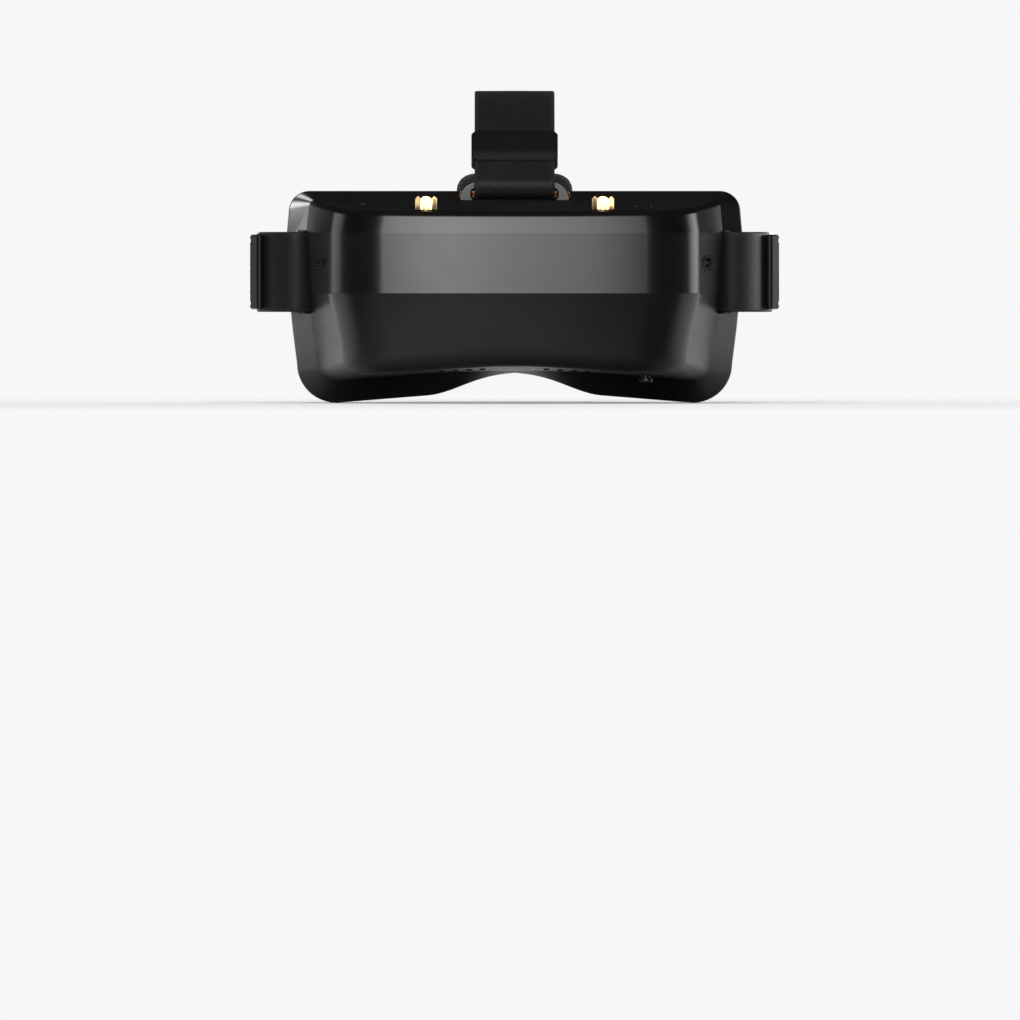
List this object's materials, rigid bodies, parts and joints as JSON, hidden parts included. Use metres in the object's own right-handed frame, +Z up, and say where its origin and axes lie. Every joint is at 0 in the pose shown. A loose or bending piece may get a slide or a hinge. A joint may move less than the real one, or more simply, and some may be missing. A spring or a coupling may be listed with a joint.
{
  "type": "fpv goggles",
  "caption": "Box-style video goggles with a tilted visor, face foam, aerial connectors, elastic side straps, a top strap with slider and a stitched rear pad.",
  "frame": {"origin": "middle of the whole assembly's base, at the height of the rim's lowest points", "axes": "+Z up, the visor faces -Y, the wearer's head is on the +Y side and the wearer's left is +X"},
  "size_m": [0.2302, 0.246, 0.1362],
  "materials": {
    "shell": "satin black moulded plastic",
    "rim": "satin black moulded plastic",
    "inner_plastic": "matt black anti-glare plastic",
    "clip_plastic": "semi-gloss black moulded plastic",
    "button": "fine-textured black plastic",
    "foam": "orange perforated fabric over foam",
    "hook_tape": "hook tape",
    "rubber": "smooth soft rubber",
    "webbing": "smooth black elastic webbing",
    "leather": "fine-grained synthetic leather with a pale stitch line",
    "lining": "brushed black lining",
    "gold": "gold-plated brass",
    "steel": "nickel-plated steel",
    "aluminium": "anodised",
    "insulator": "white fluoroplastic",
    "cable": "thin black jacket",
    "screen": "switched-off display",
    "lens": "clear optical sheet",
    "circuit_board": "green solder mask",
    "light_pipe": "milky light pipe"
  },
  "bodies": {
    "housing": {"front_shell": "shell", "rear_frame": "rim", "frame_screw_1": "steel", "frame_screw_2": "steel", "frame_screw_3": "steel", "frame_screw_4": "steel", "face_foam": "foam", "foam_hook_strip": "hook_tape", "nose_guard": "rubber", "lens_rail_left": "inner_plastic", "lens_rail_right": "inner_plastic", "side_baffle_left": "inner_plastic", "side_baffle_right": "inner_plastic", "lens": "lens", "display_bezel": "inner_plastic", "display_panel": "screen", "backlight": "aluminium", "main_board": "circuit_board", "receiver_module": "steel", "heat_sink": "aluminium", "fan_frame": "inner_plastic", "antenna_sleeve_left": "gold", "antenna_sleeve_right": "gold", "antenna_jack_left": "gold", "antenna_jack_right": "gold", "antenna_core_left": "insulator", "antenna_core_right": "insulator", "coax_left": "cable", "coax_right": "cable", "dc_jack": "inner_plastic", "hdmi_port": "steel", "av_jack": "inner_plastic", "usb_port": "steel", "card_slot": "steel", "port_board_left": "circuit_board", "port_board_right": "circuit_board", "status_light": "light_pipe", "key_board_left": "circuit_board", "key_board_right": "circuit_board", "speaker": "inner_plastic", "nav_switch": "inner_plastic", "top_strap_bracket": "rim", "top_strap": "webbing", "strap_pin_left": "steel", "strap_pin_right": "steel", "side_strap_left": "webbing", "side_strap_right": "webbing"},
    "rear_pad": {"pad_cover": "leather", "pad_lining": "lining"},
    "top_slider": {"strap_slider": "clip_plastic"},
    "tab_left": {"pull_tab_left": "clip_plastic"},
    "tab_right": {"pull_tab_right": "clip_plastic"},
    "fan": {"fan_rotor": "inner_plastic"},
    "power_key": {"power_button": "button"},
    "record_key": {"record_button": "button"},
    "bind_key": {"bind_button": "button"},
    "joystick_ring": {"nav_ring": "inner_plastic"},
    "joystick_stem": {"nav_stem": "steel"},
    "joystick_cap": {"nav_cap": "button"}
  },
  "joints": [
    {"name": "pad_stretch", "type": "slide", "parent": "housing", "child": "rear_pad", "axis": [0, 1, 0], "range_m": [0, 0.04], "stiffness_N_per_m": 120, "deforming": ["side_strap_left", "side_strap_right", "top_strap"]},
    {"name": "slider_travel", "type": "hinge", "parent": "housing", "child": "top_slider", "pos_m": [0, 0.0305, 0.0471], "axis": [-1, 0, 0], "range_deg": [0, 26]},
    {"name": "tab_left_peel", "type": "hinge", "parent": "housing", "child": "tab_left", "pos_m": [0.1111, -0.0331, 0.057], "axis": [0, 0, -1], "range_deg": [0, 50], "stiffness_Nm_per_rad": 0.02},
    {"name": "tab_right_peel", "type": "hinge", "parent": "housing", "child": "tab_right", "pos_m": [-0.1111, -0.0331, 0.057], "axis": [0, 0, 1], "range_deg": [0, 50], "stiffness_Nm_per_rad": 0.02},
    {"name": "fan_spin", "type": "hinge", "parent": "housing", "child": "fan", "pos_m": [0.022, -0.1097, 0.0605], "axis": [0, 1, 0], "continuous": true},
    {"name": "power_press", "type": "slide", "parent": "housing", "child": "power_key", "axis": [0, 0, -1], "range_m": [0, 0.0006], "stiffness_N_per_m": 500},
    {"name": "record_press", "type": "slide", "parent": "housing", "child": "record_key", "axis": [0, 0, -1], "range_m": [0, 0.0006], "stiffness_N_per_m": 500},
    {"name": "bind_press", "type": "slide", "parent": "housing", "child": "bind_key", "axis": [0, 0, -1], "range_m": [0, 0.0006], "stiffness_N_per_m": 500},
    {"name": "joystick_tilt_fore", "type": "hinge", "parent": "housing", "child": "joystick_ring", "pos_m": [0.057, -0.091, 0.017], "axis": [1, 0, 0], "range_deg": [-12, 12], "stiffness_Nm_per_rad": 0.01},
    {"name": "joystick_tilt_side", "type": "hinge", "parent": "joystick_ring", "child": "joystick_stem", "pos_m": [0.057, -0.091, 0.017], "axis": [0, 1, 0], "range_deg": [-12, 12], "stiffness_Nm_per_rad": 0.01},
    {"name": "joystick_press", "type": "slide", "parent": "joystick_stem", "child": "joystick_cap", "axis": [0, 0, 1], "range_m": [0, 0.0004], "stiffness_N_per_m": 500}
  ]
}
